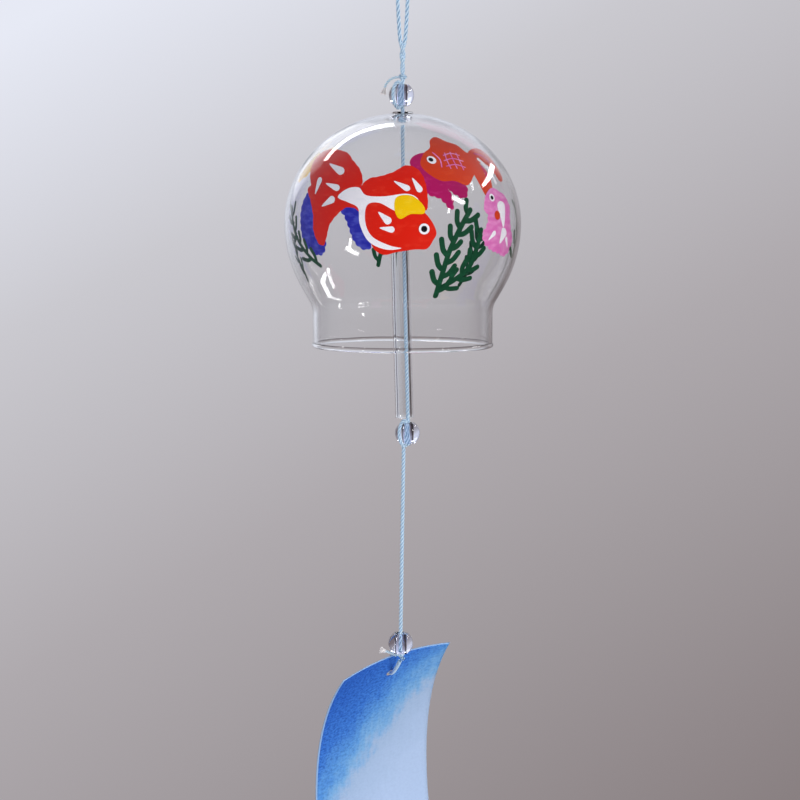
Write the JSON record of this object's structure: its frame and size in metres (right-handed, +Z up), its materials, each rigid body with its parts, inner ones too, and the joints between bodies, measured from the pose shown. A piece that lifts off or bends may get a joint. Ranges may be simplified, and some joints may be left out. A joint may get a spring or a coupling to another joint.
{
  "type": "furin wind bell",
  "caption": "Round blown glass wind bell on a twisted cord, with a glass clapper tube, clear beads and a long paper strip that catches the wind and swings the clapper.",
  "frame": {"origin": "inside top of the hanging loop, where a hook bears", "axes": "+Z up along the hanging line, -Y towards the side with the two front goldfish, +X to the right of that side"},
  "size_m": [0.075, 0.0957, 0.3876],
  "materials": {
    "cord": "pale blue twisted cord",
    "bead_glass": "clear polished glass bead",
    "bell_glass": "clear blown glass, painted inside",
    "tube_glass": "clear drawn glass tube",
    "washi": "washi paper with a blue watercolour wash"
  },
  "bodies": {
    "hanger": {"hanging_loop": "cord"},
    "twist": {"twisted_strands": "cord"},
    "neck": {"top_knot": "cord", "top_knot_tail": "cord", "top_bead": "bead_glass", "top_bead_wrap": "cord", "neck_cord": "cord"},
    "bell": {"bell_glass": "bell_glass"},
    "stop": {"stop_knot": "cord"},
    "clapper": {"clapper_cord": "cord", "lower_bead": "bead_glass", "lower_bead_wrap": "cord"},
    "tube": {"clapper_tube": "tube_glass"},
    "sail_line": {"sail_cord": "cord"},
    "sail": {"sail_bead": "bead_glass", "sail_knot": "cord", "sail_knot_tail": "cord"},
    "paper": {"paper_loop": "cord", "tanzaku": "washi"}
  },
  "joints": [
    {"name": "bell_swing_x", "type": "hinge", "parent": "hanger", "child": "twist", "pos_m": [0, 0, -0.048], "axis": [1, 0, 0], "range_deg": [-30, 30]},
    {"name": "bell_swing_y", "type": "hinge", "parent": "twist", "child": "neck", "pos_m": [0, 0, -0.0562], "axis": [0, 1, 0], "range_deg": [-30, 30]},
    {"name": "bell_turn", "type": "hinge", "parent": "neck", "child": "bell", "pos_m": [0, 0, -0.0695], "axis": [0, 0, 1], "continuous": true},
    {"name": "clapper_turn", "type": "hinge", "parent": "neck", "child": "stop", "pos_m": [0, 0, -0.0715], "axis": [0, 0, 1], "continuous": true},
    {"name": "clapper_swing", "type": "hinge", "parent": "stop", "child": "clapper", "pos_m": [0, 0, -0.07324], "axis": [1, 0, 0], "range_deg": [-17, 17]},
    {"name": "tube_slide", "type": "slide", "parent": "clapper", "child": "tube", "axis": [0, 0, 1], "range_m": [0, 0.026]},
    {"name": "sail_swing", "type": "hinge", "parent": "clapper", "child": "sail_line", "pos_m": [0.00034, 0, -0.17537], "axis": [0, 1, 0], "range_deg": [-60, 60]},
    {"name": "sail_turn", "type": "hinge", "parent": "sail_line", "child": "sail", "pos_m": [-0.00067, 0, -0.23916], "axis": [0.0157, 0, 0.9999], "continuous": true},
    {"name": "tanzaku_flap", "type": "hinge", "parent": "sail", "child": "paper", "pos_m": [-0.00067, 0, -0.24264], "axis": [0.8239, 0.536, 0.184], "range_deg": [-70, 8]}
  ]
}
